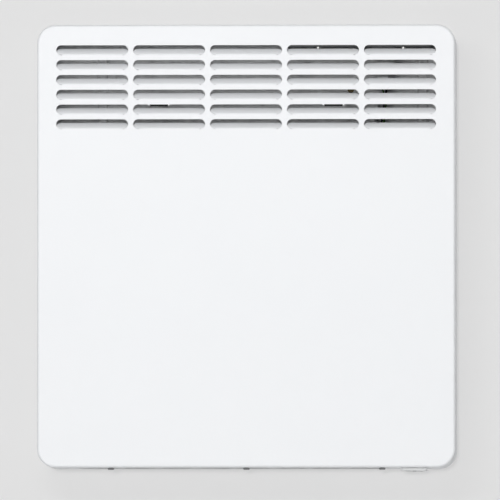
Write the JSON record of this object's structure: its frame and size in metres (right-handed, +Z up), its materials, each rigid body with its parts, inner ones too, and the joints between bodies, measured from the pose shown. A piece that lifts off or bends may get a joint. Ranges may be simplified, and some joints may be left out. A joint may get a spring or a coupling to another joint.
{
  "type": "wall panel convector heater",
  "caption": "Flat white steel panel convector with pressed louvres, a top control unit and an underside rocker switch, hung on a wall bracket that it tilts forward on.",
  "frame": {"origin": "on the wall, at the middle of the bracket's centre plate, behind the middle of the heater", "axes": "+X to the viewer's right, +Y into the wall, +Z up; the heater's face looks along -Y"},
  "size_m": [0.426, 0.123, 0.4553],
  "materials": {
    "white_coat": "satin white powder coat",
    "galvanised": "plain galvanised sheet",
    "aluminium": "mill finish, thin pressed fins",
    "stainless": "drawn stainless",
    "white_plastic": "fine moulded texture",
    "grey_plastic": "fine moulded texture",
    "black_plastic": "plain moulded",
    "ceramic": "unglazed",
    "board": "solder mask",
    "display_glass": "polished dark window",
    "display_cell": "display cell",
    "brass": "plain",
    "lead_brown": "wire insulation",
    "lead_black": "wire insulation",
    "lead_blue": "wire insulation",
    "lead_green": "wire insulation"
  },
  "bodies": {
    "wall_bracket": {"bracket_top_rail": "galvanised", "bracket_bottom_rail": "galvanised", "bracket_centre_plate": "galvanised", "bracket_upright_left": "galvanised", "bracket_upright_right": "galvanised"},
    "heater": {"front_casing": "white_coat", "back_panel": "galvanised", "intake_grille": "white_plastic", "casing_catch_left": "grey_plastic", "casing_catch_centre": "grey_plastic", "casing_catch_right": "grey_plastic", "rear_screw_upper_left": "stainless", "rear_screw_upper_right": "stainless", "rear_screw_lower_left": "stainless", "rear_screw_lower_right": "stainless", "lever_ear_outer_left": "galvanised", "lever_ear_inner_left": "galvanised", "lever_pin_left": "stainless", "lever_ear_outer_right": "galvanised", "lever_ear_inner_right": "galvanised", "lever_pin_right": "stainless", "switch_body": "white_plastic", "element_fins": "aluminium", "element_rod": "stainless", "element_support_left": "galvanised", "ceramic_bush_left": "ceramic", "element_support_right": "galvanised", "ceramic_bush_right": "ceramic", "heat_shield": "galvanised", "thermal_cutout": "black_plastic", "bay_divider": "galvanised", "wiring_duct": "black_plastic", "control_housing": "grey_plastic", "control_fascia": "white_plastic", "display_window": "display_glass", "display_module": "display_cell", "control_board": "board", "housing_screw_left": "stainless", "housing_screw_right": "stainless", "cable_gland": "black_plastic", "gland_nut": "black_plastic", "mains_terminal": "white_plastic", "sensor_holder": "white_plastic", "room_sensor": "black_plastic", "earth_screw": "brass", "lead_terminal_switch": "lead_brown", "lead_switch_board": "lead_black", "lead_board_element": "lead_black", "lead_sensor": "lead_black", "lead_element_cutout": "lead_blue", "lead_cutout_terminal": "lead_blue", "lead_earth": "lead_green"},
    "button_menu": {"button_menu": "grey_plastic"},
    "button_minus": {"button_minus": "grey_plastic"},
    "button_plus": {"button_plus": "grey_plastic"},
    "button_confirm": {"button_confirm": "grey_plastic"},
    "release_lever_left": {"release_lever_left": "black_plastic"},
    "release_lever_right": {"release_lever_right": "black_plastic"},
    "switch_rocker": {"switch_rocker": "white_plastic"}
  },
  "joints": [
    {"name": "heater_tilt", "type": "hinge", "parent": "wall_bracket", "child": "heater", "pos_m": [0, -0.0229, -0.1697], "axis": [1, 0, 0], "range_deg": [0, 20]},
    {"name": "switch_rock", "type": "hinge", "parent": "heater", "child": "switch_rocker", "pos_m": [0.1705, -0.083, -0.2239], "axis": [1, 0, 0], "range_deg": [0, 10]},
    {"name": "lever_left_latch", "type": "hinge", "parent": "heater", "child": "release_lever_left", "pos_m": [-0.089, -0.056, 0.1526], "axis": [-1, 0, 0], "range_deg": [0, 6]},
    {"name": "lever_right_latch", "type": "hinge", "parent": "heater", "child": "release_lever_right", "pos_m": [0.089, -0.056, 0.1526], "axis": [-1, 0, 0], "range_deg": [0, 6]},
    {"name": "button_menu_press", "type": "slide", "parent": "heater", "child": "button_menu", "axis": [0, 0, -1], "range_m": [0, 0.0008], "stiffness_N_per_m": 400, "springref_m": -0.0003},
    {"name": "button_minus_press", "type": "slide", "parent": "heater", "child": "button_minus", "axis": [0, 0, -1], "range_m": [0, 0.0008], "stiffness_N_per_m": 400, "springref_m": -0.0003},
    {"name": "button_plus_press", "type": "slide", "parent": "heater", "child": "button_plus", "axis": [0, 0, -1], "range_m": [0, 0.0008], "stiffness_N_per_m": 400, "springref_m": -0.0003},
    {"name": "button_confirm_press", "type": "slide", "parent": "heater", "child": "button_confirm", "axis": [0, 0, -1], "range_m": [0, 0.0008], "stiffness_N_per_m": 400, "springref_m": -0.0003}
  ]
}
